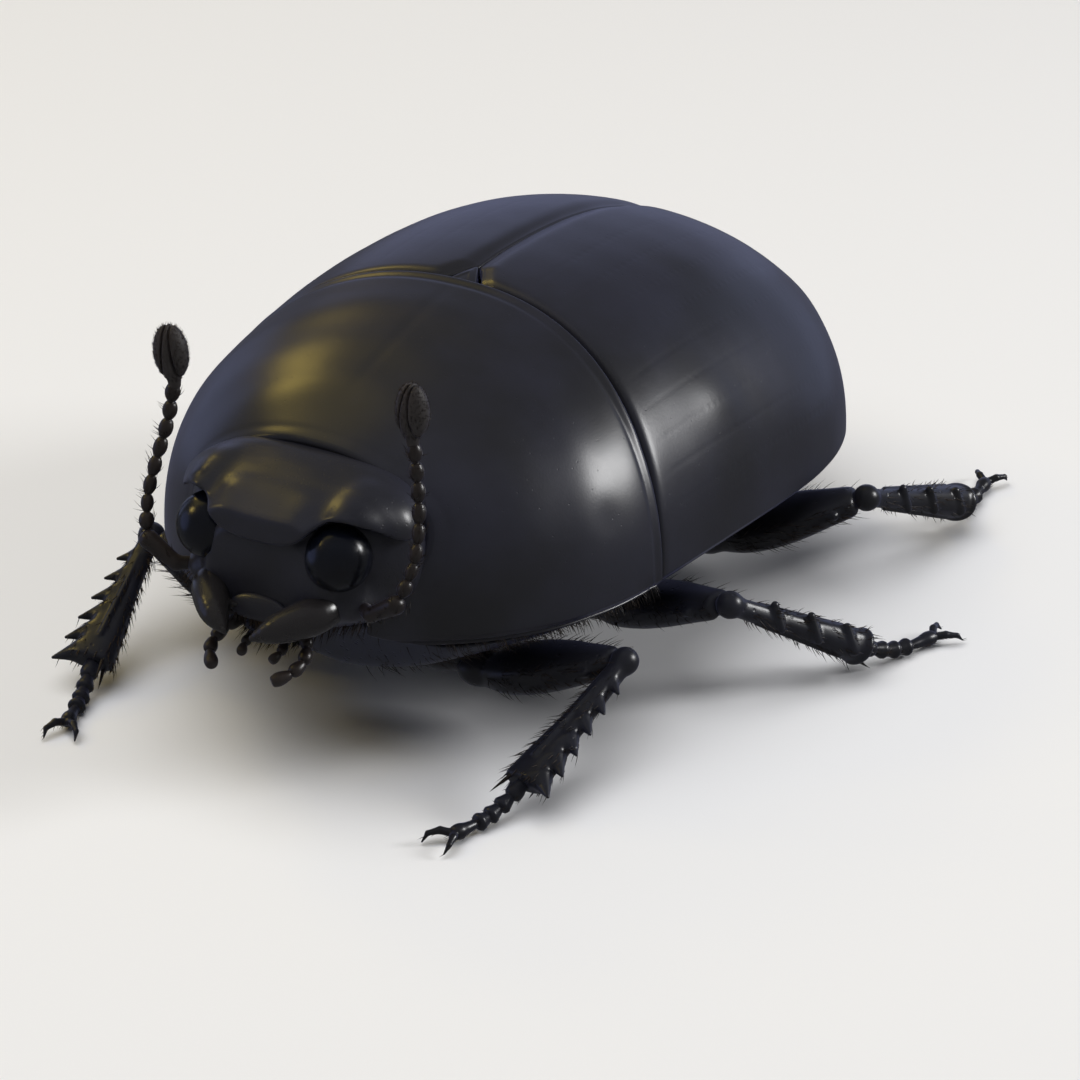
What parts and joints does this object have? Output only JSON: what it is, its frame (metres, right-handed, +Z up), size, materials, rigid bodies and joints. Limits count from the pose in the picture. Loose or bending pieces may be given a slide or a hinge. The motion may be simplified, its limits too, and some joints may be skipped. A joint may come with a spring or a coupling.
{
  "type": "dung beetle",
  "caption": "Life-size still model of a smooth black earth-boring dung beetle, standing on its legs, with domed wing cases, curved jaws and raised clubbed feelers.",
  "frame": {"origin": "on the floor, under the middle of the beetle's bounding box", "axes": "+Z up; the head points along -Y, so +Y runs along the body to the tail; the beetle's left is +X"},
  "size_m": [0.0198, 0.0216, 0.0092],
  "materials": {
    "shell": "smooth satin-gloss black shell with a faint blue-violet sheen",
    "underside": "punctured glossy blue-black shell with dark hairs",
    "leg": "satin black shell with dark spines and hairs",
    "eye": "polished black with very fine facets",
    "jaw": "polished black-brown",
    "feeler": "dark brown-black, the club dull with fine down"
  },
  "bodies": {
    "root": {"head": "shell", "labrum": "jaw", "pronotum": "shell", "scutellum": "shell", "prosternum": "underside", "mesosternum": "underside", "metasternum": "underside", "abdomen": "underside", "pygidium": "underside", "elytron_left": "shell", "elytron_right": "shell", "eye_left": "eye", "eye_right": "eye", "mandible_left": "jaw", "mandible_right": "jaw", "palp_left": "feeler", "palp_right": "feeler", "antenna_left": "feeler", "antenna_right": "feeler", "antenna_club_left": "feeler", "antenna_club_right": "feeler", "front_coxa_left": "leg", "front_coxa_right": "leg", "front_femur_left": "leg", "front_femur_right": "leg", "front_tibia_left": "leg", "front_tibia_right": "leg", "front_tarsus_left": "leg", "front_tarsus_right": "leg", "middle_coxa_left": "leg", "middle_coxa_right": "leg", "middle_femur_left": "leg", "middle_femur_right": "leg", "middle_tibia_left": "leg", "middle_tibia_right": "leg", "middle_tarsus_left": "leg", "middle_tarsus_right": "leg", "hind_coxa_left": "leg", "hind_coxa_right": "leg", "hind_femur_left": "leg", "hind_femur_right": "leg", "hind_tibia_left": "leg", "hind_tibia_right": "leg", "hind_tarsus_left": "leg", "hind_tarsus_right": "leg"}
  },
  "joints": []
}
